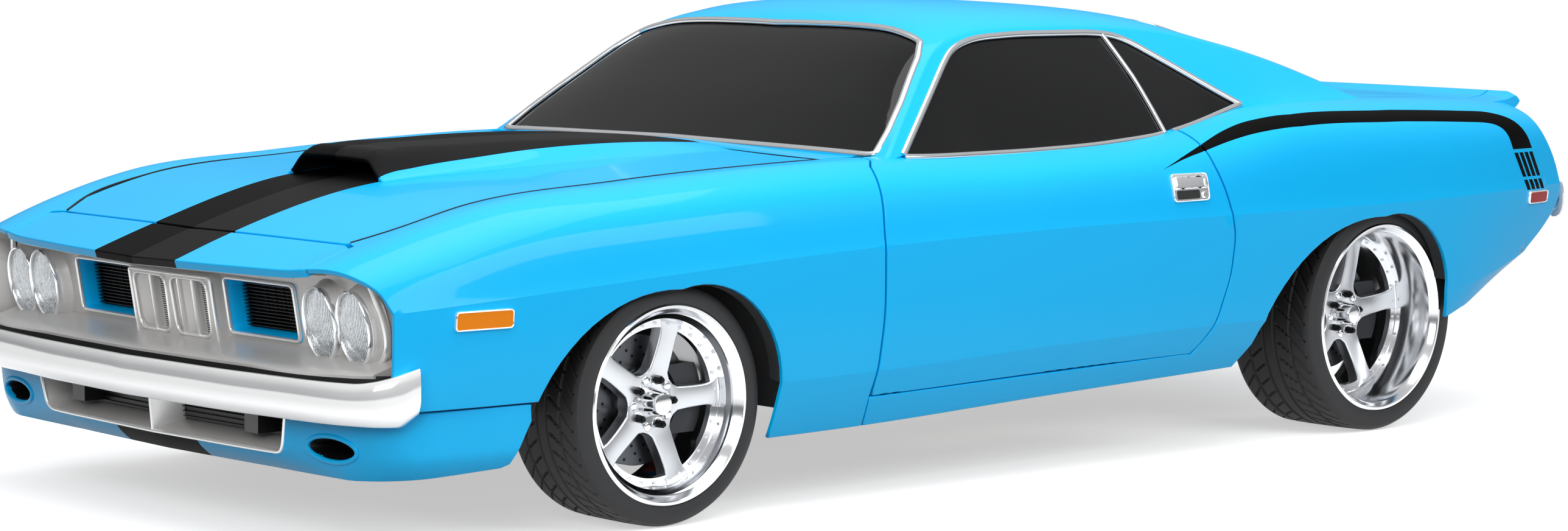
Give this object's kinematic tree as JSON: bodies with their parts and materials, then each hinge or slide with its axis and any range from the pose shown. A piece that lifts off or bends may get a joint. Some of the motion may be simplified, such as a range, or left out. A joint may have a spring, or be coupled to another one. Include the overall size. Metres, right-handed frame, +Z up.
{
  "type": "muscle car",
  "caption": "Two-door hardtop muscle car with long hood, hood scoop, quad oval lamps, black side stripe, deep-dish five-spoke wheels, opening doors, hood and deck lid.",
  "frame": {"origin": "on the ground under the middle of the car's overall box", "axes": "+X to the car's left, +Y towards its rear, +Z up; the front faces -Y"},
  "size_m": [1.904, 4.72, 1.248],
  "materials": {
    "body_paint": "glossy bright blue",
    "chrome": "polished",
    "argent": "satin silver paint",
    "glass": "dark tint",
    "lamp_glass": "clear ribbed lens",
    "lamp_amber_red": "clear coloured plastic",
    "under_black": "satin black",
    "bare_steel": "brushed",
    "cast": "cast",
    "alloy": "machined and polished",
    "tyre": "rubber with a grooved tread",
    "seat": "black vinyl",
    "trim": "grained black"
  },
  "bodies": {
    "body": {"nose_panel": "body_paint", "fender_left": "body_paint", "fender_right": "body_paint", "quarter_left": "body_paint", "quarter_right": "body_paint", "roof": "body_paint", "body_glass": "glass", "tail_panel": "body_paint", "rear_bumper": "chrome", "front_bumper": "chrome", "front_valance": "body_paint", "grille_panel": "argent", "center_vent": "argent", "grille_frames": "body_paint", "lamp_bezels": "chrome", "headlamps": "lamp_glass", "side_markers": "lamp_amber_red", "tail_lamps": "lamp_amber_red", "floor_pan": "under_black", "firewall_cowl": "under_black", "front_frame": "under_black", "radiator": "alloy", "engine_block": "cast", "wheel_houses": "under_black", "front_suspension": "under_black", "rear_axle": "cast", "rear_springs": "under_black", "exhaust": "bare_steel", "fuel_tank": "under_black", "front_seats": "seat", "rear_seat": "seat", "parcel_shelf": "under_black", "dashboard": "trim"},
    "door_left": {"door_left": "body_paint", "door_glass_left": "glass"},
    "door_right": {"door_right": "body_paint", "door_glass_right": "glass"},
    "hood": {"hood": "body_paint"},
    "deck_lid": {"deck_lid": "body_paint"},
    "steering_wheel": {"steering_wheel": "trim"},
    "knuckle_left": {"knuckle_left": "cast"},
    "knuckle_right": {"knuckle_right": "cast"},
    "wheel_front_left": {"tyre_front_left": "tyre", "wheel_front_left": "alloy"},
    "wheel_front_right": {"tyre_front_right": "tyre", "wheel_front_right": "alloy"},
    "wheel_rear_left": {"tyre_rear_left": "tyre", "wheel_rear_left": "alloy"},
    "wheel_rear_right": {"tyre_rear_right": "tyre", "wheel_rear_right": "alloy"}
  },
  "joints": [
    {"name": "door_left_hinge", "type": "hinge", "parent": "body", "child": "door_left", "pos_m": [0.918, -0.77, 0.55], "axis": [0, 0, -1], "range_deg": [0, 68]},
    {"name": "door_right_hinge", "type": "hinge", "parent": "body", "child": "door_right", "pos_m": [-0.918, -0.77, 0.55], "axis": [0, 0, 1], "range_deg": [0, 68]},
    {"name": "hood_hinge", "type": "hinge", "parent": "body", "child": "hood", "pos_m": [0, -0.68, 0.864], "axis": [-1, 0, 0], "range_deg": [0, 52]},
    {"name": "deck_lid_hinge", "type": "hinge", "parent": "body", "child": "deck_lid", "pos_m": [0, 1.515, 0.958], "axis": [1, 0, 0], "range_deg": [0, 60]},
    {"name": "steer_left", "type": "hinge", "parent": "body", "child": "knuckle_left", "pos_m": [0.722, -1.37, 0.298], "axis": [0, 0, 1], "range_deg": [-30, 30]},
    {"name": "steer_right", "type": "hinge", "parent": "body", "child": "knuckle_right", "pos_m": [-0.722, -1.37, 0.298], "axis": [0, 0, 1], "range_deg": [-30, 30]},
    {"name": "steering_wheel_turn", "type": "hinge", "parent": "body", "child": "steering_wheel", "pos_m": [0.37, -0.25, 0.763], "axis": [0, 0.9537, 0.3007], "range_deg": [-480, 480]},
    {"name": "roll_front_left", "type": "hinge", "parent": "knuckle_left", "child": "wheel_front_left", "pos_m": [0.8, -1.37, 0.298], "axis": [1, 0, 0], "continuous": true},
    {"name": "roll_front_right", "type": "hinge", "parent": "knuckle_right", "child": "wheel_front_right", "pos_m": [-0.8, -1.37, 0.298], "axis": [1, 0, 0], "continuous": true},
    {"name": "roll_rear_left", "type": "hinge", "parent": "body", "child": "wheel_rear_left", "pos_m": [0.74, 1.373, 0.332], "axis": [1, 0, 0], "continuous": true},
    {"name": "roll_rear_right", "type": "hinge", "parent": "body", "child": "wheel_rear_right", "pos_m": [-0.74, 1.373, 0.332], "axis": [1, 0, 0], "continuous": true}
  ],
  "couplings": [
    {"joint": "steer_right", "follows": "steer_left", "ratio": 1},
    {"joint": "steering_wheel_turn", "follows": "steer_left", "ratio": 16}
  ]
}
